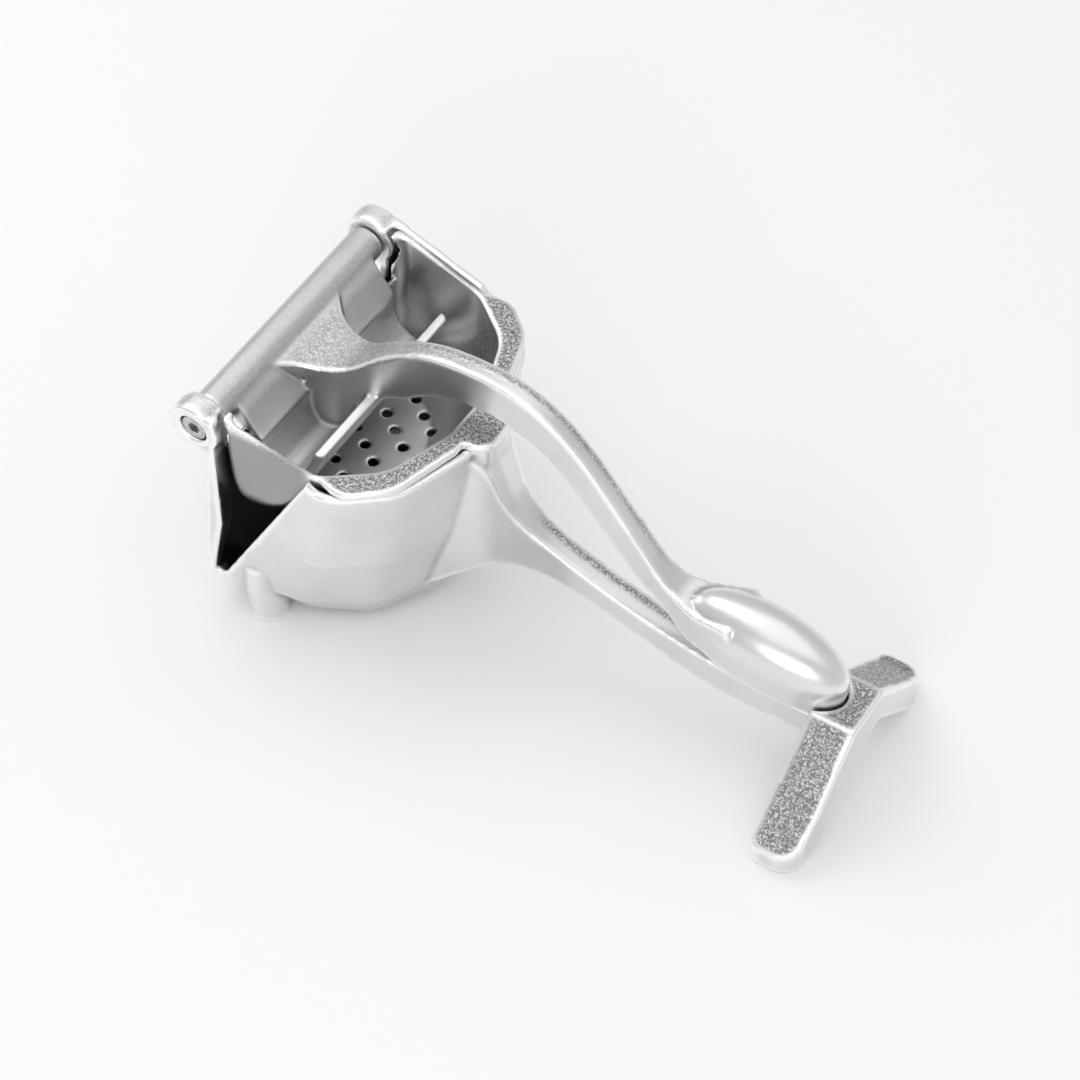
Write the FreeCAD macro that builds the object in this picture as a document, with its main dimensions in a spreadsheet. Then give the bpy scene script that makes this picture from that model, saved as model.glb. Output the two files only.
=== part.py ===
import FreeCAD, Part
import math
import os
import sys
from FreeCAD import Placement, Rotation, Vector

os.makedirs("parts", exist_ok=True)
doc = FreeCAD.newDocument("citrus_press")

# ---------------------------------------------------------------- driving dimensions, in millimetres
# While it is being modelled the press stands with its hinge axis along Y at x = 0, the long handle
# towards +X and its feet on z = 0. The finished pieces are then moved so that the origin is under
# the middle of the whole press.
SIZES = {
    # hinge
    "hinge_width": 108,          # across the outer faces of the two ears
    "pin_height": 96,
    "ear_radius": 9.5,
    "ear_thickness": 8.5,
    "bolt_radius": 3,
    "bolt_head_radius": 4.6,
    "bolt_head_length": 3,
    "hex_key_width": 4,
    "hex_key_depth": 1.8,
    "counterbore_depth": 4,
    "counterbore_gap": 0.7,
    # cup
    "cup_wall": 3,
    "cup_lift": 4,               # table to the underside of the cup
    "rim_height": 90,            # where the basket's flange rests
    "rear_lean": 0.13,           # the rear wall leans forward by this much for each unit of height
    "rear_x": 4.5,               # outer face of the rear wall at the rim
    "guard_x": -11,              # rear face of the guard strip behind the barrel
    "guard_thickness": 1.6,
    "guard_top": 91,
    "guard_depth": 9,
    "cup_half_width": 54,
    "shoulder_x": 53,
    "front_x": 79,               # front face of the cup at its rim
    "nose_half_width": 12,
    "peak_x": 43,
    "peak_height": 93,
    "spout_height": 11,          # where the two edges of the spout would meet
    "spout_tip_radius": 2,
    # feet
    "peg_radius": 7.5,
    "peg_x": 13.5,
    "peg_y": 44.5,
    # handle and T-shaped foot
    "handle_width": 9.6,
    "handle_root_width": 34,
    "stand_front_x": 223.5,
    "stand_width": 16.5,         # measured along X
    "stand_top": 41,
    "stand_seat_width": 20,      # measured along Y
    "stand_tip_radius": 8.4,
    "stand_spread": 45.5,        # middle of the press to the end of each arm
    "stand_tip_height": 10,
    "stand_thickness": 14,       # of each sloping arm, measured straight down
    "stand_seat_depth": 15,
    # strainer basket
    "flange_thickness": 3,
    "basket_wall": 2.2,
    "basket_floor": 50,
    "basket_side": 48,
    "basket_front": 70.5,
    "hole_radius": 1.9,
    "hole_step_x": 5,            # from one hole to the next along a slanting row
    "hole_step_y": 10.6,
    "hole_row_x": -6.7,          # from one row to the next
    "hole_row_y": 4.9,
    "hole_x": 38,                # middle hole
    "hole_y": 6.4,
    "tab_half_width": 10.5,
    "tab_front_x": 85,
    # press lever
    "barrel_radius": 6.5,
    "arm_width": 8,
    "pusher_wall": 3.5,
    "pusher_floor": 62.5,
    "pusher_front": 39,
    "pusher_rim": 88,
    "pusher_half_width": 38.5,
    "grip_length": 59,
    "grip_width": 24.5,
    "grip_height": 27.5,
    "grip_skirt": 10,            # upright band under the dome of the grip
    "grip_x": 186,
    "grip_z": 50.8,
    "grip_tilt": 8,              # degrees, tip down
    # clearances
    "barrel_gap": 0.3,           # each end of the barrel to its ear
    "running_gap": 0.06,         # bolt in the barrel, on the radius
    "bolt_gap": 0.15,            # bolt in the ears, on the radius
    "barrel_sweep_gap": 9.6,     # barrel to the walls that its root passes over
    "ear_sweep_gap": 2,          # ears to the rising sides of the basket
    "seat_gap": 0.7,             # grip to its cradle
    "pusher_gap": 1,             # pusher to the sides of the basket
    "flange_gap": 0.3,           # flange over the rim
}
sheet = doc.addObject("Spreadsheet::Sheet", "Sizes")
for row, (alias, number) in enumerate(SIZES.items(), start=1):
    sheet.set(f"A{row}", alias)
    sheet.set(f"B{row}", str(number))
    sheet.setAlias(f"B{row}", alias)
doc.recompute()


def size(alias):
    return float(sheet.get(alias))


def bind(item, **formulas):
    """Ties properties of an object to formulas of sheet aliases."""
    for prop, formula in formulas.items():
        words = formula
        for alias in sorted(SIZES, key=len, reverse=True):
            words = words.replace(f"<{alias}>", f"Sizes.{alias}")
        item.setExpression(prop.replace("__", "."), words)
    return item


# ---------------------------------------------------------------- small geometry helpers
def rounded_wire(corners, radii, place):
    """Closed wire through corners (2D), each rounded by its radius; place(u, v) gives the 3D point."""
    count = len(corners)
    edges = []
    starts = []
    ends = []
    for i in range(count):
        here = Vector(*corners[i], 0)
        before = Vector(*corners[i - 1], 0) - here
        after = Vector(*corners[(i + 1) % count], 0) - here
        half_angle = before.getAngle(after) / 2
        reach = radii[i] / math.tan(half_angle) if radii[i] > 0 else 0
        room = 0.46 * min(before.Length, after.Length)
        reach = min(reach, room)
        radius = reach * math.tan(half_angle)
        before.normalize()
        after.normalize()
        starts.append(here + before * reach)
        ends.append(here + after * reach)
        if reach > 0:
            inward = (before + after).normalize()
            middle = here + inward * (math.hypot(reach, radius) - radius)
            edges.append((starts[i], middle, ends[i]))
        else:
            edges.append(None)
    wire = []
    for i in range(count):
        if edges[i] is not None:
            a, b, c = (place(p.x, p.y) for p in edges[i])
            wire.append(Part.Arc(a, b, c).toShape())
        following = starts[(i + 1) % count]
        wire.append(Part.LineSegment(place(ends[i].x, ends[i].y), place(following.x, following.y)).toShape())
    return Part.Wire(wire)


def on_level(z):
    return lambda u, v: Vector(u, v, z)


def on_side(y):
    return lambda u, v: Vector(u, y, v)


def mirrored(half):
    """Closed outline, symmetric about the X axis, from its corners with positive y, rear to front."""
    return half + [(x, -y) for x, y in reversed(half)]


def doubled(radii):
    return radii + list(reversed(radii))


def inset(corners, distance):
    """Moves every edge of a closed polygon inwards by distance."""
    area = sum(a[0] * b[1] - b[0] * a[1] for a, b in zip(corners, corners[1:] + corners[:1])) / 2
    side = 1 if area > 0 else -1
    moved = []
    count = len(corners)
    for i in range(count):
        here = Vector(*corners[i], 0)
        along_in = (here - Vector(*corners[i - 1], 0)).normalize()
        along_out = (Vector(*corners[(i + 1) % count], 0) - here).normalize()
        normal_in = Vector(-along_in.y, along_in.x, 0) * side
        normal_out = Vector(-along_out.y, along_out.x, 0) * side
        bisector = (normal_in + normal_out).normalize()
        point = here + bisector * (distance / bisector.dot(normal_in))
        moved.append((point.x, point.y))
    return moved


def feature(name, shape):
    item = doc.addObject("Part::Feature", name)
    item.Shape = shape
    return item


def loft(name, sections, smooth=True):
    """Solid through wires of the same make-up."""
    wires = []
    for number, wire in enumerate(sections, start=1):
        wires.append(feature(f"{name}_section_{number}", wire))
    item = doc.addObject("Part::Loft", name)
    item.Sections = wires
    item.Solid = True
    item.Ruled = not smooth
    return item


def side_slab(name, outline, formula, radii=None, smooth_runs=None):
    """Slab with an outline in the XZ plane and a thickness along Y, centred on y = 0."""
    if smooth_runs is None:
        wire = rounded_wire(outline, radii or [0] * len(outline), on_side(0))
    else:
        wire = smooth_wire(smooth_runs, on_side(0))
    profile = feature(f"{name}_outline", wire)
    item = doc.addObject("Part::Extrusion", name)
    item.Base = profile
    item.DirMode = "Custom"
    item.Dir = Vector(0, 1, 0)
    item.Solid = True
    item.Symmetric = True
    bind(item, LengthFwd=formula)
    return item


def smooth_wire(runs, place):
    """Closed wire of smooth curves, each through its own points; runs join end to end."""
    edges = []
    for run in runs:
        points = [place(u, v) for u, v in run]
        if len(points) == 2:
            edges.append(Part.LineSegment(points[0], points[1]).toShape())
        else:
            curve = Part.BSplineCurve()
            curve.interpolate(points)
            edges.append(curve.toShape())
    return Part.Wire(edges)


def plan_slab(name, outline, radii, low, high):
    """Slab with an outline in the XY plane between two heights."""
    profile = feature(f"{name}_outline", rounded_wire(outline, radii, on_level(low)))
    item = doc.addObject("Part::Extrusion", name)
    item.Base = profile
    item.DirMode = "Custom"
    item.Dir = Vector(0, 0, 1)
    item.Solid = True
    item.LengthFwd = high - low
    return item


def cross_cylinder(name, radius, length, start):
    """Cylinder on the hinge axis; start is the formula for its end with the lower y."""
    item = doc.addObject("Part::Cylinder", name)
    item.Placement = Placement(Vector(0, 0, 0), Rotation(Vector(1, 0, 0), -90))
    bind(item, Radius=radius, Height=length, Placement__Base__y=start, Placement__Base__z="<pin_height>")
    return item


def fuse(name, pieces):
    item = doc.addObject("Part::MultiFuse", name)
    item.Shapes = pieces
    item.Refine = True
    return item


def cut(name, base, tool):
    item = doc.addObject("Part::Cut", name)
    item.Base = base
    item.Tool = tool
    item.Refine = True
    return item


def common(name, first, second):
    item = doc.addObject("Part::MultiCommon", name)
    item.Shapes = [first, second]
    item.Refine = True
    return item


# ---------------------------------------------------------------- shared outlines
PIN_Z = size("pin_height")
WALL = size("cup_wall")
FAR_UP = PIN_Z + 60                       # above everything, for cutting tools
HALF = size("cup_half_width")
NOSE = size("nose_half_width")
RIM = size("rim_height")


def rear_face(z):
    """Outer face of the leaning rear wall."""
    return size("rear_x") - size("rear_lean") * (RIM - z)


def cup_outline(level, side, shoulder, front):
    """Outline of the cup at a level: rear corner, shoulder, bend and nose, and their mirror image."""
    bend_x = shoulder[0] + 0.65 * (front[0] - shoulder[0])
    bend_y = front[1] + 0.65 * (shoulder[1] - front[1])
    return level, mirrored([(rear_face(level), side), shoulder, (bend_x, bend_y), front])


CUP_RADII = doubled([2.5, 20, 22, 10])
SHOULDER = size("shoulder_x")
FRONT = size("front_x")
CUP_LEVELS = [
    cup_outline(size("cup_lift"), 0.69 * HALF, (SHOULDER - 27, 0.76 * HALF), (FRONT - 19, NOSE - 3)),
    cup_outline(size("cup_lift") + 13, 0.985 * HALF, (SHOULDER - 23, 0.87 * HALF), (FRONT - 14, NOSE - 2)),
    cup_outline(0.54 * RIM, HALF, (SHOULDER - 10, HALF - 3.5), (FRONT - 6, NOSE - 1)),
    cup_outline(RIM, HALF, (SHOULDER, HALF - 2.5), (FRONT, NOSE)),
]


def cup_sections(offset, floor):
    wires = []
    for level, outline in CUP_LEVELS:
        corners = inset(outline, offset) if offset else outline
        wires.append(rounded_wire(corners, CUP_RADII, on_level(level + floor)))
    return wires


# ---------------------------------------------------------------- body casting
cup_outer = loft("cup_outer", cup_sections(0, 0), smooth=False)
cup_inner = loft("cup_inner", cup_sections(WALL, WALL), smooth=False)
wall_top = plan_slab("wall_top", CUP_LEVELS[-1][1], CUP_RADII, RIM - 0.01, PIN_Z + size("ear_radius"))
hollow_top = plan_slab("hollow_top", inset(CUP_LEVELS[-1][1], WALL), CUP_RADII, RIM, FAR_UP)
cup_block = fuse("cup_block", [cup_outer, wall_top])

ear_front = 0.64 * size("ear_radius")
trim_points = [
    (-40, size("rim_height")),
    (0, size("rim_height")),
    (ear_front, PIN_Z + 0.84 * size("ear_radius")),
    (size("peak_x"), size("peak_height")),
    (size("peak_x") + 3, RIM),
    (FRONT + 60, RIM),
    (FRONT + 60, FAR_UP),
    (-40, FAR_UP),
]
rim_trim = side_slab("rim_trim", trim_points, "4*<cup_half_width>")
SPOUT_LOW = size("spout_height")
SPOUT_REAR = rear_face(SPOUT_LOW) + WALL
spout_slope = (size("peak_height") - SPOUT_LOW) / (size("peak_x") - SPOUT_REAR)
spout_points = [
    (rear_face(FAR_UP) + WALL, FAR_UP),
    (SPOUT_REAR, SPOUT_LOW),
    (size("peak_x") + (FAR_UP - size("peak_height")) / spout_slope, FAR_UP),
]
spout_cut = side_slab("spout_cut", spout_points, "<cup_half_width>/2", [0, size("spout_tip_radius"), 0])
bind(spout_cut, Placement__Base__y="-<cup_half_width>")
inner_half = "(<hinge_width>/2-<ear_thickness>)"
barrel_clearing = cross_cylinder("barrel_clearing", "<barrel_radius>+<barrel_sweep_gap>",
                                 f"2*{inner_half}", f"-{inner_half}")
ear_clearing = cross_cylinder("ear_clearing", "<ear_radius>+0.4*<ear_sweep_gap>",
                              "2*(<cup_half_width>-<cup_wall>)", "-(<cup_half_width>-<cup_wall>)")
cup_voids = fuse("cup_voids", [cup_inner, hollow_top, rim_trim, spout_cut, barrel_clearing, ear_clearing])
cup_shell = cut("cup_shell", cup_block, cup_voids)


def ear(side_name, direction):
    """Ear of the hinge with the rib that carries it down the rear corner of the cup."""
    outer = size("hinge_width") / 2
    thick = size("ear_thickness")
    start = "-<hinge_width>/2" if direction < 0 else "<hinge_width>/2-<ear_thickness>"
    round_end = cross_cylinder(f"ear_round_{side_name}", "<ear_radius>", "<ear_thickness>", start)
    post_front = size("rear_x") + WALL
    spout_level = size("spout_height") + 9
    levels = [
        (PIN_Z, size("rear_x"), post_front, thick),
        (RIM, size("rear_x"), post_front, thick),
        (0.55 * RIM, rear_face(0.55 * RIM), post_front - 2, thick),
        (spout_level, rear_face(spout_level), rear_face(spout_level) + WALL, WALL),
    ]
    wires = []
    for level, rear_x, front_x, width in levels:
        near = direction * outer
        far = direction * (outer - width)
        corners = [(rear_x, near), (front_x, near), (front_x, far), (rear_x, far)]
        wires.append(rounded_wire(corners, [0, 0, 0, 0], on_level(level)))
    rib = loft(f"ear_rib_{side_name}", wires, smooth=False)
    return fuse(f"ear_{side_name}", [round_end, rib])


near_ear = ear("near", -1)
far_ear = ear("far", 1)


def guard_box(name, length, width, shift_y):
    """Box of the guard's height, from its rear face forwards."""
    item = doc.addObject("Part::Box", name)
    bind(
        item,
        Length=length,
        Width=width,
        Height="<guard_depth>",
        Placement__Base__x="<guard_x>",
        Placement__Base__y=shift_y,
        Placement__Base__z="<guard_top>-<guard_depth>",
    )
    return item


# strip behind the barrel, held at each end by a lug on the rear of the ear
guard_lug_length = "-<guard_x>-0.4*<ear_radius>"
guard = fuse("guard", [
    guard_box("guard_strip", "<guard_thickness>", f"2*{inner_half}+4", f"-{inner_half}-2"),
    guard_box("guard_lug_near", guard_lug_length, "4", f"-{inner_half}-4"),
    guard_box("guard_lug_far", guard_lug_length, "4", inner_half),
])


def peg(side_name, direction):
    """Round foot under the rear corner of the cup."""
    item = doc.addObject("Part::Cylinder", f"peg_{side_name}")
    bind(
        item,
        Radius="<peg_radius>",
        Height="<cup_lift>+24",
        Placement__Base__x="<peg_x>",
        Placement__Base__y=f"{direction}*<peg_y>",
    )
    return item


# the handle: a beam seen from the side, cut to a flared root seen from above
STAND_FRONT = size("stand_front_x")
STAND_REAR = STAND_FRONT - size("stand_width")
SEAT_Z = size("stand_top")
handle_top = [(FRONT - 2, RIM - 3), (FRONT + 5, 78), (FRONT + 9, 66), (FRONT + 16, 56.5), (112, 47),
              (132, 40), (152, 35), (176, 32), (STAND_REAR, 32)]
handle_under = [(STAND_REAR, 20), (186, 19), (166, 19.5), (146, 25), (126, 31), (109, 34.5), (97, 35),
                (FRONT + 4, 31), (FRONT - 12, 20), (FRONT - 24, 8)]
handle_runs = [handle_top, [handle_top[-1], handle_under[0]], handle_under,
               [handle_under[-1], (FRONT - 40, 8)], [(FRONT - 40, 8), (FRONT - 40, RIM - 3)],
               [(FRONT - 40, RIM - 3), handle_top[0]]]
handle_side = side_slab("handle_side", None, "3*<handle_root_width>", smooth_runs=handle_runs)
half_beam = size("handle_width") / 2
half_root = size("handle_root_width") / 2
handle_plan_half = [(FRONT - 40, half_root), (FRONT - 12, half_root), (FRONT + 7, half_beam + 2.2),
                    (FRONT + 24, half_beam), (STAND_REAR + 1, half_beam)]
handle_plan = plan_slab("handle_plan", mirrored(handle_plan_half), doubled([0, 30, 30, 60, 0]), 0, FAR_UP)
handle_beam = common("handle_beam", handle_side, handle_plan)
# the handle and the pegs stop inside the thickness of the cup's wall
inside_cup = loft("inside_cup", cup_sections(0.6 * WALL, 0.6 * WALL), smooth=False)
handle = cut("handle", fuse("handle_and_pegs", [handle_beam, peg("near", -1), peg("far", 1)]), inside_cup)

# the seat of the T-shaped foot and its two drooping arms: a paddle outline seen from above, cut to an
# arch seen along the handle
seat_half = size("stand_seat_width") / 2
seat = doc.addObject("Part::Box", "seat")
bind(
    seat,
    Length="<stand_width>",
    Width="<stand_seat_width>",
    Height="<stand_seat_depth>",
    Placement__Base__x="<stand_front_x>-<stand_width>",
    Placement__Base__y="-<stand_seat_width>/2",
    Placement__Base__z="<stand_top>-<stand_seat_depth>",
)
spread = size("stand_spread")
tip_radius = size("stand_tip_radius")
tip_rear = STAND_FRONT - 1 - 2 * tip_radius
paddle_half = [(STAND_REAR, seat_half - 4), (STAND_REAR - 0.5, spread - 2.6 * tip_radius),
               (tip_rear, spread - tip_radius), (tip_rear, spread), (STAND_FRONT - 1, spread),
               (STAND_FRONT, spread - 2 * tip_radius), (STAND_FRONT, seat_half - 4)]
paddle_radii = [0, 14, 6, tip_radius, tip_radius, 20, 0]
tip_z = size("stand_tip_height")
drop = SEAT_Z - tip_z
arch_half = [(0, SEAT_Z), (seat_half, SEAT_Z), (seat_half + 1.02 * drop, tip_z), (spread + 6, tip_z - 1.5),
             (spread + 6, 0), (seat_half + SEAT_Z - size("stand_thickness") - 2, 0),
             (seat_half - 2, SEAT_Z - size("stand_thickness")), (0, SEAT_Z - size("stand_thickness"))]


def stand_arm(side_name, direction):
    corners = [(x, direction * y) for x, y in paddle_half]
    paddle = plan_slab(f"paddle_{side_name}", corners, paddle_radii, 0, SEAT_Z)
    arch_corners = [(direction * y, z) for y, z in arch_half]
    arch_radii = [0, 2, 8, 0, 0, 0, 4, 0]
    arch_wire = rounded_wire(arch_corners, arch_radii, lambda y, z: Vector(STAND_REAR - 20, y, z))
    arch_outline = feature(f"arch_outline_{side_name}", arch_wire)
    arch = doc.addObject("Part::Extrusion", f"arch_{side_name}")
    arch.Base = arch_outline
    arch.DirMode = "Custom"
    arch.Dir = Vector(1, 0, 0)
    arch.Solid = True
    arch.LengthFwd = 60
    return common(f"stand_arm_{side_name}", paddle, arch)


table_trim = doc.addObject("Part::Box", "table_trim")
bind(
    table_trim,
    Length="2*<stand_front_x>",
    Width="4*<hinge_width>",
    Height="50",
    Placement__Base__x="-<hinge_width>",
    Placement__Base__y="-2*<hinge_width>",
    Placement__Base__z="-50",
)


def grip_shape(name, grow):
    """Egg-shaped grip with an upright band under its dome; grow adds a clearance all round."""
    dome = doc.addObject("Part::Ellipsoid", f"{name}_dome")
    more = f"<{grow}>" if grow else "0"
    dome.Angle1 = -90
    dome.Angle2 = 90
    dome.Angle3 = 360
    bind(
        dome,
        Radius2=f"<grip_length>/2+{more}",
        Radius3=f"<grip_width>/2+{more}",
        Radius1=f"<grip_height>/2+{more}",
    )
    extra = size(grow) if grow in SIZES else 0
    band = doc.addObject("Part::Extrusion", f"{name}_band")
    oval = Part.Ellipse(Vector(0, 0, 0), size("grip_length") / 2 + extra,
                        size("grip_width") / 2 + extra)
    band.Base = feature(f"{name}_oval", Part.Wire([oval.toShape()]))
    band.DirMode = "Custom"
    band.Dir = Vector(0, 0, -1)
    band.Solid = True
    bind(band, LengthFwd=f"<grip_skirt>+{more}")
    item = fuse(name, [dome, band])
    item.Placement = Placement(Vector(0, 0, 0), Rotation(Vector(0, 1, 0), size("grip_tilt")))
    bind(item, Placement__Base__x="<grip_x>", Placement__Base__z="<grip_z>")
    return item


# lug under the basket's tab
lug_half = [(FRONT - 2, size("tab_half_width") - 1), (size("tab_front_x") - 2, size("tab_half_width") - 3)]
lug = plan_slab("lug", mirrored(lug_half), doubled([0, 4]), RIM - 12, RIM)

body_mass = fuse("body_mass", [
    cup_shell, near_ear, far_ear, guard, handle, seat,
    stand_arm("near", -1), stand_arm("far", 1), lug,
])
bolt_hole = cross_cylinder("bolt_hole", "<bolt_radius>+<bolt_gap>", "2*<hinge_width>", "-<hinge_width>")
sink_radius = "<bolt_head_radius>+<counterbore_gap>"
near_sink = cross_cylinder("near_sink", sink_radius, "<counterbore_depth>+10", "-<hinge_width>/2-10")
far_sink = cross_cylinder("far_sink", sink_radius, "<counterbore_depth>+10",
                          "<hinge_width>/2-<counterbore_depth>")
body_bores = fuse("body_bores", [bolt_hole, near_sink, far_sink])
bored_body = cut("bored_body", body_mass, body_bores)
standing_body = cut("standing_body", bored_body, table_trim)
press_body = cut("press_body", standing_body, grip_shape("cradle", "seat_gap"))

# ---------------------------------------------------------------- strainer basket
SIDE = size("basket_side")
BASKET_FRONT = size("basket_front")
FLANGE_LOW = RIM + size("flange_gap")
FLANGE_TOP = FLANGE_LOW + size("flange_thickness")
BASKET_REAR = size("rear_x") + WALL + 1 + size("basket_wall")
basket_levels = [
    (PIN_Z + 14, (BASKET_REAR, SIDE), (44, SIDE - 1.6), (61, 33), (BASKET_FRONT, 9)),
    (RIM, (BASKET_REAR, SIDE), (44, SIDE - 1.6), (61, 33), (BASKET_FRONT - 1, 9)),
    (75, (BASKET_REAR - 0.3, SIDE - 0.5), (36, SIDE - 1.8), (55, 31), (BASKET_FRONT - 7, 9)),
    (62, (BASKET_REAR - 0.3, SIDE - 3), (21, SIDE - 4), (49, 28), (BASKET_FRONT - 14, 9)),
    (size("basket_floor"), (BASKET_REAR + 2, SIDE - 17), (22, SIDE - 17), (39, 24), (BASKET_FRONT - 24, 8)),
]
BASKET_RADII = doubled([4, 14, 18, 8])


def basket_sections(grow):
    wires = []
    for level, *half in basket_levels:
        corners = inset(mirrored(half), -grow) if grow else mirrored(half)
        drop = grow if level == size("basket_floor") else 0
        wires.append(rounded_wire(corners, BASKET_RADII, on_level(level - drop)))
    return wires


bowl_outer = loft("bowl_outer", basket_sections(size("basket_wall")))
bowl_inner = loft("bowl_inner", basket_sections(0))
flange_half = [(size("peak_x") - 3, SIDE - 0.4), (size("peak_x") + 2, SIDE - 0.4), (SHOULDER + 3, 50),
               (SHOULDER + 15.5, 39), (FRONT - 3, 14)]
flange_plate = plan_slab("flange_plate", mirrored(flange_half), doubled([0, 6, 12, 16, 6]), FLANGE_LOW,
                         FLANGE_TOP)
tab_half = [(FRONT - 14, size("tab_half_width")), (FRONT + 2, size("tab_half_width")),
            (size("tab_front_x"), size("tab_half_width") - 4)]
tab = plan_slab("tab", mirrored(tab_half), doubled([0, 6, 5]), FLANGE_LOW, FLANGE_TOP)
basket_mass = fuse("basket_mass", [bowl_outer, flange_plate, tab])
# the sides rise towards the ears in line with the sides of the cup
side_line = [(-40, PIN_Z + 0.84 * size("ear_radius")), (ear_front, PIN_Z + 0.84 * size("ear_radius")),
             (size("peak_x"), FLANGE_TOP), (200, FLANGE_TOP), (200, FAR_UP), (-40, FAR_UP)]
above_flange = side_slab("above_flange", side_line, "4*<cup_half_width>")
ear_room = cross_cylinder("ear_room", "<ear_radius>+<ear_sweep_gap>", "2*<hinge_width>", "-<hinge_width>")
barrel_room = cross_cylinder("barrel_room", "<barrel_radius>+<barrel_sweep_gap>", f"2*{inner_half}",
                             f"-{inner_half}")


def strainer_holes():
    """Slanting staggered rows of drain holes, bored straight down through the floor."""
    step = Vector(size("hole_step_x"), size("hole_step_y"), 0)
    row = Vector(size("hole_row_x"), size("hole_row_y"), 0)
    middle = Vector(size("hole_x"), size("hole_y"), 0)
    holes = []
    for across in range(-4, 5):
        for along in range(-5, 6):
            place = middle + step * along + row * across
            reach = (BASKET_FRONT - 20 - place.x) * 0.75 + 12
            if BASKET_REAR + 6 < place.x < BASKET_FRONT - 22 and abs(place.y) < min(reach, SIDE - 15):
                holes.append(Part.makeCylinder(size("hole_radius"), 60, place))
    return Part.makeCompound(holes)


drain_holes = feature("drain_holes", strainer_holes())
basket_cuts = fuse("basket_cuts", [bowl_inner, above_flange, barrel_room, ear_room])
basket_shell = cut("basket_shell", basket_mass, basket_cuts)
strainer_basket = cut("strainer_basket", basket_shell, drain_holes)

# ---------------------------------------------------------------- press lever
PUSH_REAR = BASKET_REAR + size("pusher_gap")
PUSH_FRONT = size("pusher_front")
PUSH_RIM = size("pusher_rim")
PUSH_LOW = size("pusher_floor")
SKIN = size("pusher_wall")
tangent = math.radians(20)                # where the scoop leaves the front of the barrel
scoop_start = (size("barrel_radius") * math.cos(tangent), PIN_Z + size("barrel_radius") * math.sin(tangent))
# underside first, from the barrel down the rear and up to the front rim, then back along the inside
scoop_runs = [
    [(2, 90.5), (PUSH_REAR, 84)],
    [(PUSH_REAR, 84), (PUSH_REAR, PUSH_LOW + 11.5)],
    [(PUSH_REAR, PUSH_LOW + 11.5), (PUSH_REAR + 2, PUSH_LOW + 4.5), (PUSH_REAR + 7.5, PUSH_LOW),
     (PUSH_REAR + 14, PUSH_LOW + 1), (PUSH_FRONT - 9, PUSH_LOW + 6)],
    [(PUSH_FRONT - 9, PUSH_LOW + 6), (PUSH_FRONT, PUSH_RIM)],
    [(PUSH_FRONT, PUSH_RIM), (PUSH_FRONT - SKIN, PUSH_RIM + 0.6)],
    [(PUSH_FRONT - SKIN, PUSH_RIM + 0.6), (PUSH_FRONT - SKIN - 7.3, PUSH_LOW + 9.5)],
    [(PUSH_FRONT - SKIN - 7.3, PUSH_LOW + 9.5), (PUSH_REAR + 12.5, PUSH_LOW + 5.2),
     (PUSH_REAR + 7.8, PUSH_LOW + 5.6), (PUSH_REAR + 4.4, PUSH_LOW + 10.5),
     (PUSH_REAR + SKIN, PUSH_LOW + 17)],
    [(PUSH_REAR + SKIN, PUSH_LOW + 17), (PUSH_REAR + SKIN, 84)],
    [(PUSH_REAR + SKIN, 84), scoop_start],
    [scoop_start, (2, 90.5)],
]
scoop_side = side_slab("scoop_side", None, "2*<pusher_half_width>", smooth_runs=scoop_runs)
PUSH_HALF = size("pusher_half_width")
scoop_plan_half = [(0, PUSH_HALF), (PUSH_FRONT - 8, PUSH_HALF), (PUSH_FRONT + 1, PUSH_HALF - 3)]
scoop_plan = plan_slab("scoop_plan", mirrored(scoop_plan_half), doubled([0, 9, 5]), 0, FAR_UP)
pusher = common("pusher", scoop_side, scoop_plan)

barrel = cross_cylinder("barrel", "<barrel_radius>", "<hinge_width>-2*<ear_thickness>-2*<barrel_gap>",
                        "-<hinge_width>/2+<ear_thickness>+<barrel_gap>")
arm_top = [(0, 101), (8, 97.5), (18, 94.5), (28, 97), (36, 103.5), (48, 112.5), (60, 118), (74, 120),
           (88, 119.5), (97, 117), (107, 111.5), (118, 101.5), (128, 89), (138, 75.5), (146, 65), (153, 59.5),
           (160, 58), (168, 59.5), (176, 61.5)]
arm_under = [(176, 45), (166, 43), (158, 43.5), (148, 50), (138, 58), (122, 77), (110, 91), (102, 98),
             (90, 102.5), (72, 103.5), (60, 99.5), (48, 91.3), (40, 87), (34, 79), (29, 70), (23, 65.5)]
arm_runs = [arm_top, [arm_top[-1], arm_under[0]], arm_under, [arm_under[-1], (16, 70)], [(16, 70), (14, 89.4)],
            [(14, 89.4), (0, 92.4)], [(0, 92.4), arm_top[0]]]
arm_side = side_slab("arm_side", None, "<hinge_width>", smooth_runs=arm_runs)
half_arm = size("arm_width") / 2
arm_plan_half = [(-3, 30), (7.5, 18), (13, 12.5), (20, 10), (30, 7), (42, 4.8), (54, half_arm),
                 (120, half_arm), (142, half_arm + 0.3), (152, 5.5), (162, 8.5), (176, 11)]
arm_plan_radii = doubled([0, 10, 14, 20, 30, 30, 40, 60, 20, 20, 20, 0])
arm_plan = plan_slab("arm_plan", mirrored(arm_plan_half), arm_plan_radii, 0, FAR_UP)
arm = common("arm", arm_side, arm_plan)
lever_mass = fuse("lever_mass", [pusher, barrel, arm, grip_shape("grip", None)])
barrel_bore = cross_cylinder("barrel_bore", "<bolt_radius>+<running_gap>", "2*<hinge_width>",
                             "-<hinge_width>")
press_lever = cut("press_lever", lever_mass, barrel_bore)


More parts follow.
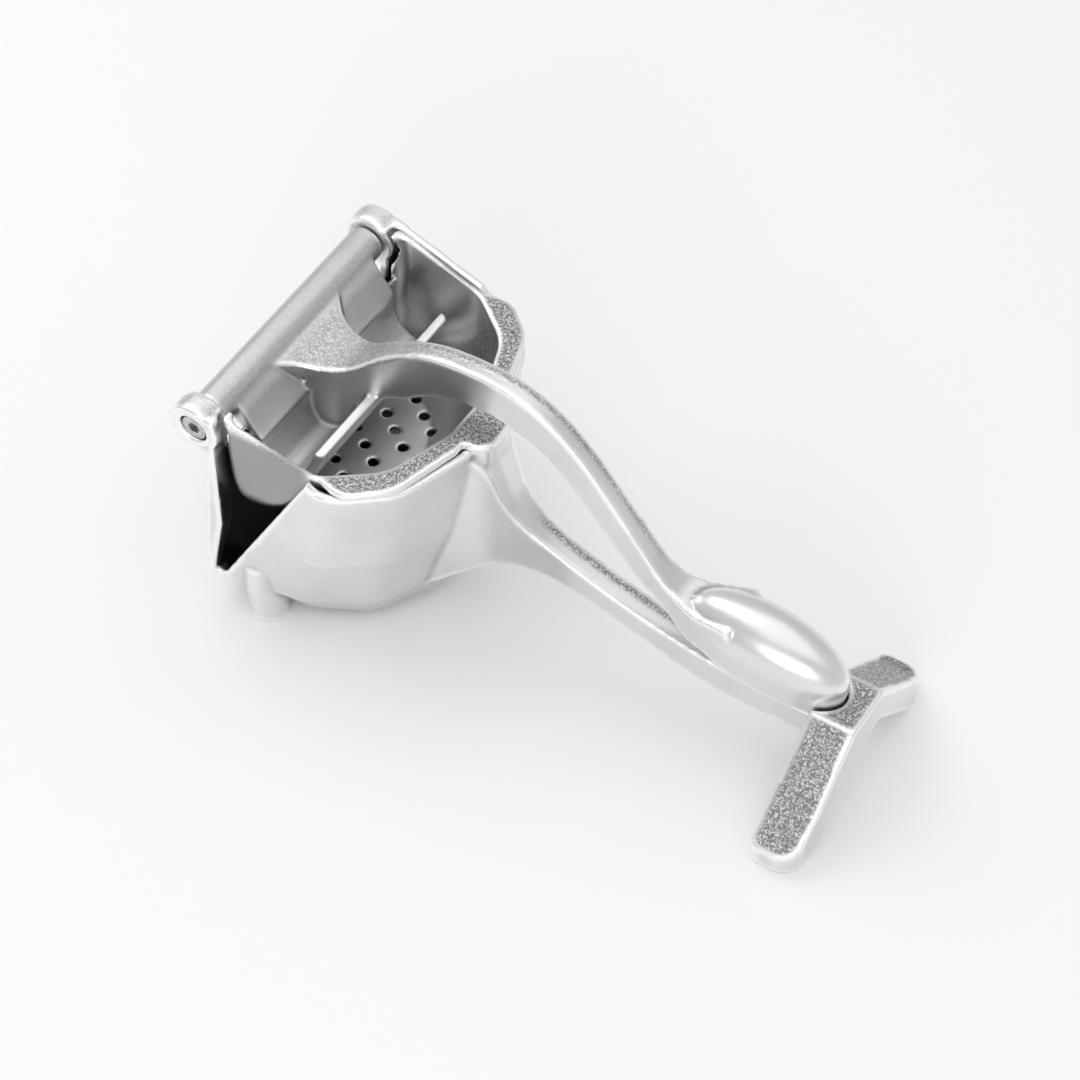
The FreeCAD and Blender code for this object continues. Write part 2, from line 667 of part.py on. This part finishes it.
# ---------------------------------------------------------------- hinge bolt and nut
def hex_socket(name, start):
    """Six-sided prism on the hinge axis, for a hex key."""
    item = doc.addObject("Part::Prism", name)
    item.Polygon = 6
    item.Placement = Placement(Vector(0, 0, 0), Rotation(Vector(1, 0, 0), -90))
    bind(
        item,
        Circumradius="<hex_key_width>/1.732",
        Height="<hex_key_depth>",
        Placement__Base__y=start,
        Placement__Base__z="<pin_height>",
    )
    return item


sink_floor = "(<hinge_width>/2-<counterbore_depth>)"
bolt_end = f"({sink_floor}+<bolt_head_length>-<hex_key_depth>-0.6)"
bolt_head = cross_cylinder("bolt_head", "<bolt_head_radius>", "<bolt_head_length>",
                           f"-{sink_floor}-<bolt_head_length>")
bolt_shank = cross_cylinder("bolt_shank", "<bolt_radius>", f"{sink_floor}+{bolt_end}", f"-{sink_floor}")
bolt_mass = fuse("bolt_mass", [bolt_head, bolt_shank])
bolt_socket = hex_socket("bolt_socket", f"-{sink_floor}-<bolt_head_length>")
hinge_bolt = cut("hinge_bolt", bolt_mass, bolt_socket)

nut_head = cross_cylinder("nut_head", "<bolt_head_radius>", "<bolt_head_length>", sink_floor)
nut_socket = hex_socket("nut_socket", f"{sink_floor}+<bolt_head_length>-<hex_key_depth>")
nut_thread = cross_cylinder("nut_thread", "<bolt_radius>", f"{bolt_end}-{sink_floor}+1", f"{sink_floor}-1")
nut_cuts = fuse("nut_cuts", [nut_socket, nut_thread])
hinge_nut = cut("hinge_nut", nut_head, nut_cuts)

# ---------------------------------------------------------------- finish, check and write
NODES = [press_body, strainer_basket, press_lever, hinge_bolt, hinge_nut]
for node in NODES:
    node.Label = node.Name
    bind(node, Placement__Base__x="-(<stand_front_x>+<guard_x>)/2")
doc.recompute()

problems = []
for item in doc.Objects:
    if "Invalid" in item.State or "Error" in item.State:
        problems.append(f"{item.Name}: {item.State}")
for node in NODES:
    shape = node.Shape
    if shape.isNull() or not shape.isValid():
        problems.append(f"{node.Label}: no valid shape")
    elif len(shape.Solids) != 1:
        problems.append(f"{node.Label}: {len(shape.Solids)} solids")
if problems:
    sys.exit("\n".join(problems))
for node in NODES:
    node.Shape.exportStep(os.path.join("parts", f"{node.Label}.step"))
    box = node.Shape.BoundBox
    print(f"{node.Label}: {node.Shape.Volume:.0f} mm3, x {box.XMin:.1f}..{box.XMax:.1f}, "
          f"y {box.YMin:.1f}..{box.YMax:.1f}, z {box.ZMin:.1f}..{box.ZMax:.1f}")
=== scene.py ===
import math
import bmesh
import bpy
import numpy as np
from mathutils import Matrix, Vector


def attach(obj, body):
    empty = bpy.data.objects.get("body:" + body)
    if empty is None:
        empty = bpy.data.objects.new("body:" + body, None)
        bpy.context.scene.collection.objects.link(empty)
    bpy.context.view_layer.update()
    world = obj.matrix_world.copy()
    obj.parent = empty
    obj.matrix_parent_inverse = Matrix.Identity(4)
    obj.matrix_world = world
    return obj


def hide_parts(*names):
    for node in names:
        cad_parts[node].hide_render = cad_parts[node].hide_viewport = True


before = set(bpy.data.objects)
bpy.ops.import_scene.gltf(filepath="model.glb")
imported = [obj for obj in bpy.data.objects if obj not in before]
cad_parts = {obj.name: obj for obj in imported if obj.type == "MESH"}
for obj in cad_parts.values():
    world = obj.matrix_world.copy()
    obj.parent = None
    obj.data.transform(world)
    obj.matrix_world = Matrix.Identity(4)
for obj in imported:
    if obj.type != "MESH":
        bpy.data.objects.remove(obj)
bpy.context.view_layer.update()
MM = 0.001


# ------------------------------------------------------------------ camera, floor and light
def aim(azimuth, elevation, roll):
    """Rotation of a camera that looks at the object from an azimuth and elevation, in degrees."""
    az = math.radians(azimuth)
    el = math.radians(elevation)
    back = Vector((math.sin(az) * math.cos(el), -math.cos(az) * math.cos(el), math.sin(el)))
    right = Vector((0, 0, 1)).cross(back).normalized()
    up = back.cross(right)
    turn = math.radians(roll)
    across = right * math.cos(turn) + up * math.sin(turn)
    upward = up * math.cos(turn) - right * math.sin(turn)
    return Matrix((across, upward, back)).transposed()


def add_camera():
    data = bpy.data.cameras.new("camera")
    data.sensor_width = 36.0
    data.lens = 95.92
    data.clip_start = 0.01
    data.clip_end = 20.0
    camera = bpy.data.objects.new("camera", data)
    bpy.context.collection.objects.link(camera)
    turn = aim(34.24, 52.01, -1.78)
    target = Vector((-10.4, 2.8, 41.5)) * MM
    camera.matrix_world = Matrix.Translation(target + turn.col[2] * 0.9677) @ turn.to_4x4()
    bpy.context.scene.camera = camera


def add_area(name, place, toward, width, depth, power):
    data = bpy.data.lights.new(name, "AREA")
    data.shape = "RECTANGLE"
    data.size = width
    data.size_y = depth
    data.energy = power
    light = bpy.data.objects.new(name, data)
    bpy.context.collection.objects.link(light)
    direction = Vector(toward) - Vector(place)
    light.rotation_euler = direction.to_track_quat("-Z", "Y").to_euler()
    light.location = place


def add_stage():
    """A plain pale floor and soft studio light."""
    bm = bmesh.new()
    bmesh.ops.create_grid(bm, x_segments=4, y_segments=4, size=4.0)
    mesh = bpy.data.meshes.new("floor")
    bm.to_mesh(mesh)
    bm.free()
    floor = bpy.data.objects.new("floor", mesh)
    bpy.context.collection.objects.link(floor)
    material = bpy.data.materials.new("floor_paper")
    material.use_nodes = True
    shader = material.node_tree.nodes["Principled BSDF"]
    shader.inputs["Base Color"].default_value = (0.95, 0.95, 0.95, 1)
    shader.inputs["Roughness"].default_value = 0.9
    shader.inputs["Specular IOR Level"].default_value = 0.1
    mesh.materials.append(material)
    world = bpy.data.worlds.new("studio")
    world.use_nodes = True
    sky = world.node_tree.nodes["Background"]
    sky.inputs["Color"].default_value = (0.97, 0.975, 0.98, 1)
    sky.inputs["Strength"].default_value = 0.66
    bpy.context.scene.world = world
    add_area("key", (-0.75, 0.10, 1.05), (0, 0, 0.03), 0.8, 1.0, 3.0)
    add_area("top", (0.10, 0.10, 1.50), (0, 0, 0.0), 1.8, 1.8, 5.2)
    add_area("near_fill", (0.45, -1.20, 0.60), (0, 0, 0.04), 0.9, 0.6, 4.0)
    settings = bpy.context.scene.view_settings
    settings.view_transform = "Standard"
    settings.look = "None"


# ------------------------------------------------------------------ materials
class Nodes:
    """Short calls for building one material's node tree."""

    def __init__(self, name):
        self.material = bpy.data.materials.new(name)
        self.material.use_nodes = True
        self.tree = self.material.node_tree
        self.shader = self.tree.nodes["Principled BSDF"]
        self.place = self.add("ShaderNodeTexCoord").outputs["Object"]

    def add(self, kind, **settings):
        node = self.tree.nodes.new(kind)
        for key, value in settings.items():
            setattr(node, key, value)
        return node

    def link(self, source, socket):
        if isinstance(source, (int, float)):
            socket.default_value = source
        else:
            self.tree.links.new(source, socket)

    def math(self, operation, first, second=0.0, third=0.0):
        node = self.add("ShaderNodeMath", operation=operation)
        for socket, value in zip(node.inputs, (first, second, third)):
            self.link(value, socket)
        return node.outputs[0]

    def stretch(self, factors):
        node = self.add("ShaderNodeMapping")
        node.inputs["Scale"].default_value = factors
        self.tree.links.new(self.place, node.inputs["Vector"])
        return node.outputs["Vector"]

    def noise(self, scale, detail=2.0, roughness=0.5, where=None, distortion=0.0):
        node = self.add("ShaderNodeTexNoise")
        self.tree.links.new(where or self.place, node.inputs["Vector"])
        node.inputs["Scale"].default_value = scale
        node.inputs["Detail"].default_value = detail
        node.inputs["Roughness"].default_value = roughness
        node.inputs["Distortion"].default_value = distortion
        return node.outputs["Fac"]

    def ramp(self, value, low, high, to_low=0.0, to_high=1.0):
        node = self.add("ShaderNodeMapRange", interpolation_type="SMOOTHSTEP")
        for socket, number in zip(node.inputs, (value, low, high, to_low, to_high)):
            self.link(number, socket)
        return node.outputs[0]

    def mix(self, share, first, second):
        """Number between first and second."""
        node = self.add("ShaderNodeMix", data_type="FLOAT")
        self.link(share, node.inputs[0])
        self.link(first, node.inputs[2])
        self.link(second, node.inputs[3])
        return node.outputs[0]

    def attribute(self, name):
        return self.add("ShaderNodeAttribute", attribute_name=name).outputs["Fac"]

    def grey(self, value, tint=(1.0, 1.0, 1.0)):
        node = self.add("ShaderNodeCombineColor")
        for socket, factor in zip(node.inputs, tint):
            self.link(self.math("MULTIPLY", value, factor), socket)
        return node.outputs[0]


def cast_aluminium(name):
    """Polished casting; the mask as_cast brings back the sand mould's grain, edge the buffed edges."""
    n = Nodes(name)
    grain_mask = n.attribute("as_cast")
    edge = n.attribute("edge")
    # Painted shade: attribute values above 0.5 darken the skin toward 0.34.
    painted_shade_and_light = n.ramp(n.attribute("painted_shade_and_light"), 0.5, 1.0)
    # Painted light: attribute values below 0.5 brighten the skin toward 0.97 and roughen it toward 0.62.
    painted_brightness = n.ramp(n.attribute("painted_shade_and_light"), 0.5, 0.0)
    crease_shade = n.attribute("crease_shade")
    cloud = n.noise(28.0, 3.0, 0.55)
    fleck = n.noise(1500.0, 3.0, 0.65)
    grit = n.noise(900.0, 4.0, 0.7)
    polish = n.noise(2600.0, 2.0, 0.5)
    mottle = n.math("MULTIPLY", n.ramp(grit, 0.42, 0.56), n.ramp(fleck, 0.38, 0.60))
    grain = n.math("MULTIPLY", grain_mask, n.math("SUBTRACT", 1.0, edge))
    smooth_tone = n.math("ADD", n.ramp(cloud, 0.3, 0.7, 0.74, 0.82), n.ramp(polish, 0.3, 0.7, -0.02, 0.02))
    buffed = n.mix(edge, smooth_tone, 0.97)
    tone = n.mix(grain, buffed, n.mix(mottle, 0.22, 0.80))
    # Painted crease shade: concave spots darkened by up to half toward 0.12.
    shaded = n.mix(n.math("MULTIPLY", crease_shade, 0.5), tone, 0.12)
    # Painted shade and painted light mixed into the tone.
    skin = n.mix(painted_brightness, n.mix(painted_shade_and_light, shaded, 0.34), 0.97)
    n.link(n.grey(skin, (1.0, 1.0, 0.995)), n.shader.inputs["Base Color"])
    smooth_rough = n.ramp(cloud, 0.25, 0.75, 0.27, 0.37)
    skin_rough = n.mix(grain, smooth_rough, n.mix(mottle, 0.55, 0.36))
    n.link(n.mix(painted_brightness, skin_rough, 0.62), n.shader.inputs["Roughness"])
    n.shader.inputs["Metallic"].default_value = 1.0
    coarse = n.math("ADD", grit, n.math("MULTIPLY", fleck, 0.6))
    fine = n.math("ADD", polish, n.math("MULTIPLY", fleck, 1.2))
    height = n.math("ADD", n.math("MULTIPLY", coarse, grain), n.math("MULTIPLY", fine, 0.05))
    bump = n.add("ShaderNodeBump")
    bump.inputs["Strength"].default_value = 0.6
    bump.inputs["Distance"].default_value = 0.45 * MM
    n.link(height, bump.inputs["Height"])
    n.tree.links.new(bump.outputs["Normal"], n.shader.inputs["Normal"])
    return n.material


def turned_steel(name):
    """Hinge screw: rings from turning."""
    n = Nodes(name)
    wear = n.noise(420.0, 3.0, 0.6)
    rings = n.noise(900.0, 2.0, 0.5, n.stretch((1.0, 6.0, 1.0)))
    tone = n.ramp(wear, 0.3, 0.7, 0.40, 0.62)
    n.link(n.grey(tone, (1.0, 1.0, 1.01)), n.shader.inputs["Base Color"])
    n.link(n.ramp(rings, 0.3, 0.7, 0.22, 0.38), n.shader.inputs["Roughness"])
    n.shader.inputs["Metallic"].default_value = 1.0
    bump = n.add("ShaderNodeBump")
    bump.inputs["Strength"].default_value = 0.2
    bump.inputs["Distance"].default_value = 0.1 * MM
    n.link(rings, bump.inputs["Height"])
    n.tree.links.new(bump.outputs["Normal"], n.shader.inputs["Normal"])
    return n.material


# ------------------------------------------------------------------ castings
def neighbours(mesh):
    edges = np.empty(len(mesh.edges) * 2, dtype=np.int64)
    mesh.edges.foreach_get("vertices", edges)
    return edges.reshape(-1, 2)


def spread(values, edges, rounds, share=0.5):
    """Blurs a value per point over the mesh."""
    count = np.zeros(len(values))
    np.add.at(count, edges[:, 0], 1.0)
    np.add.at(count, edges[:, 1], 1.0)
    count = np.maximum(count, 1.0)
    for _ in range(rounds):
        total = np.zeros_like(values)
        if values.ndim == 1:
            np.add.at(total, edges[:, 0], values[edges[:, 1]])
            np.add.at(total, edges[:, 1], values[edges[:, 0]])
            values = (1 - share) * values + share * total / count
        else:
            for axis in range(values.shape[1]):
                np.add.at(total[:, axis], edges[:, 0], values[edges[:, 1], axis])
                np.add.at(total[:, axis], edges[:, 1], values[edges[:, 0], axis])
            values = (1 - share) * values + share * total / count[:, None]
    return values


def points_of(mesh):
    flat = np.empty(len(mesh.vertices) * 3)
    mesh.vertices.foreach_get("co", flat)
    return flat.reshape(-1, 3)


def normals_of(mesh):
    flat = np.empty(len(mesh.vertices) * 3)
    mesh.vertices.foreach_get("normal", flat)
    return flat.reshape(-1, 3)


def store(mesh, name, values):
    layer = mesh.attributes.new(name, "FLOAT", "POINT")
    layer.data.foreach_set("value", np.clip(values, 0, 1).astype(np.float32))


def casting(name, node, body, voxel, rounds, masks, material):
    """Soft-edged casting over a CAD node.

    masks(points, normals) gives where the mould's texture shows and where shade and light are painted into
    the skin.
    """
    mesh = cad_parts[node].data.copy()
    mesh.materials.clear()
    bm = bmesh.new()
    bm.from_mesh(mesh)
    bmesh.ops.remove_doubles(bm, verts=bm.verts, dist=0.002 * MM)
    bm.to_mesh(mesh)
    bm.free()
    rough = bpy.data.objects.new(f"{name}_rough", mesh)
    bpy.context.collection.objects.link(rough)
    remesh = rough.modifiers.new("remesh", "REMESH")
    remesh.mode = "VOXEL"
    remesh.voxel_size = voxel * MM
    remesh.use_smooth_shade = True
    soften = rough.modifiers.new("soften", "SMOOTH")
    soften.factor = 0.5
    soften.iterations = rounds
    depsgraph = bpy.context.evaluated_depsgraph_get()
    final = bpy.data.meshes.new_from_object(rough.evaluated_get(depsgraph))
    bpy.data.objects.remove(rough)
    final.name = name
    final.materials.clear()
    final.materials.append(material)
    for polygon in final.polygons:
        polygon.use_smooth = True
    edges = neighbours(final)
    points = points_of(final) / MM
    normals = normals_of(final)
    bulge = np.einsum("ij,ij->i", points - spread(points, edges, 3), normals)
    store(final, "edge", np.clip(spread(bulge, edges, 2) / 0.045 - 0.15, 0, 1))
    # Painted crease shade: how concave each point is, which later darkens the skin.
    store(final, "crease_shade", np.clip(-spread(bulge, edges, 2) / 0.07 - 0.1, 0, 1))
    grain, painted_shade_and_light = masks(points, spread(normals, edges, 3))
    store(final, "as_cast", spread(grain, edges, 3))
    # Painted shade (above 0.5) and painted light (below 0.5), blurred over the mesh.
    store(final, "painted_shade_and_light", 0.5 + 0.5 * spread(painted_shade_and_light, edges, 4))
    piece = bpy.data.objects.new(name, final)
    bpy.context.collection.objects.link(piece)
    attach(piece, body)
    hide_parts(node)
    return piece


def step(values, low, high):
    """0 below low, 1 above high, smooth between."""
    share = np.clip((values - low) / (high - low), 0, 1)
    return share * share * (3 - 2 * share)


def facing(p, n, centre):
    """1 where the surface faces a point inside the cup, 0 where it faces away."""
    toward = np.array(centre) - p
    toward /= np.linalg.norm(toward, axis=1)[:, None]
    return step(np.einsum("ij,ij->i", n, toward), 0.05, 0.35)


def body_masks(p, n):
    x, y, z = p.T
    up = step(n[:, 2], 0.45, 0.75)
    foot = step(x, 88, 94) * np.maximum(up, 0.8 * step(n[:, 2], 0.0, 0.3))
    handle_top = step(x, -14, -4) * (1 - step(x, 70, 84)) * up * step(y, 0.0, 1.5)
    ears = 0.35 * step(z, 88, 92) * (1 - step(x, -95, -85))
    # Painted shade on the spout's inner faces, those turned toward the cup.
    spout_shade = facing(p, n, (-78.0, 0.0, 60.0)) * (1 - step(x, -50, -40)) * (1 - step(z, 84, 88))
    # Painted shade at the handle root, on faces not turned up.
    root_shade = step(x, -30, -20) * (1 - step(x, 0, 14)) * step(z, 30, 38) * (1 - up) * step(-y, 0, 2)
    # Painted shade: full on the spout, 0.4 at the handle root, 0.2 on the foot; the foot also carries the
    # mould's grain.
    painted_shade_and_light = np.maximum(np.maximum(spout_shade, 0.4 * root_shade), 0.2 * foot)
    return np.maximum(np.maximum(foot, handle_top), ears), painted_shade_and_light


def basket_masks(p, n):
    x, y, z = p.T
    inward = facing(p, n, (-70.0, 0.0, 85.0))
    top = step(x, -66, -62) * step(z, 90.5, 92) * step(n[:, 2], 0.3, 0.7)
    slope = step(x, -62, -54) * step(z, 64, 72) * inward * (1 - step(z, 86, 90))
    # Painted shade on the basket's outer faces, those turned away from the cup.
    outside_shade = (1 - inward) * (1 - step(x, -68, -60)) * (1 - step(z, 96, 102))
    # Painted light on the basket floor: its negative share brightens the skin.
    floor = (1 - step(z, 56, 64)) * inward
    # Second value: painted shade on the outside, painted light on the floor.
    return np.maximum(top, 0.7 * slope), 0.9 * outside_shade - 0.6 * floor


def lever_masks(p, n):
    x, y, z = p.T
    up = step(n[:, 2], 0.4, 0.7)
    neck = step(x, -104, -94) * (1 - step(x, -40, -20)) * up * step(z, 91, 94)
    arm_top = step(x, -66, -50) * (1 - step(x, 30, 44)) * up * step(y, 0.0, 1.5)
    barrel = 0.25 * (1 - step(x, -100, -98))
    # Painted shade inside the presser scoop.
    scoop_shade = step(x, -100, -98) * (1 - step(x, -82, -73)) * (1 - step(z, 92, 96))
    # Painted shade on the arm's near side face.
    arm_side_shade = step(x, -84, -76) * (1 - step(x, -26, -20)) * step(-n[:, 1], 0.5, 0.8)
    # Painted shade: scoop 0.5, arm side 0.25, barrel 0.35; the barrel also keeps its mould grain.
    painted_shade_and_light = np.maximum(np.maximum(0.5 * scoop_shade, 0.25 * arm_side_shade), 1.4 * barrel)
    return np.maximum(np.maximum(0.55 * neck, arm_top), barrel), painted_shade_and_light


aluminium = cast_aluminium("cast_aluminium")
steel = turned_steel("turned_steel")
casting("body_casting", "press_body", "stand", 0.8, 5, body_masks, aluminium)
casting("basket_casting", "strainer_basket", "basket", 0.6, 4, basket_masks, aluminium)
casting("lever_casting", "press_lever", "lever", 0.7, 6, lever_masks, aluminium)
for name in ("hinge_bolt", "hinge_nut"):
    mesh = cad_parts[name].data
    mesh.materials.clear()
    mesh.materials.append(steel)

add_stage()
add_camera()
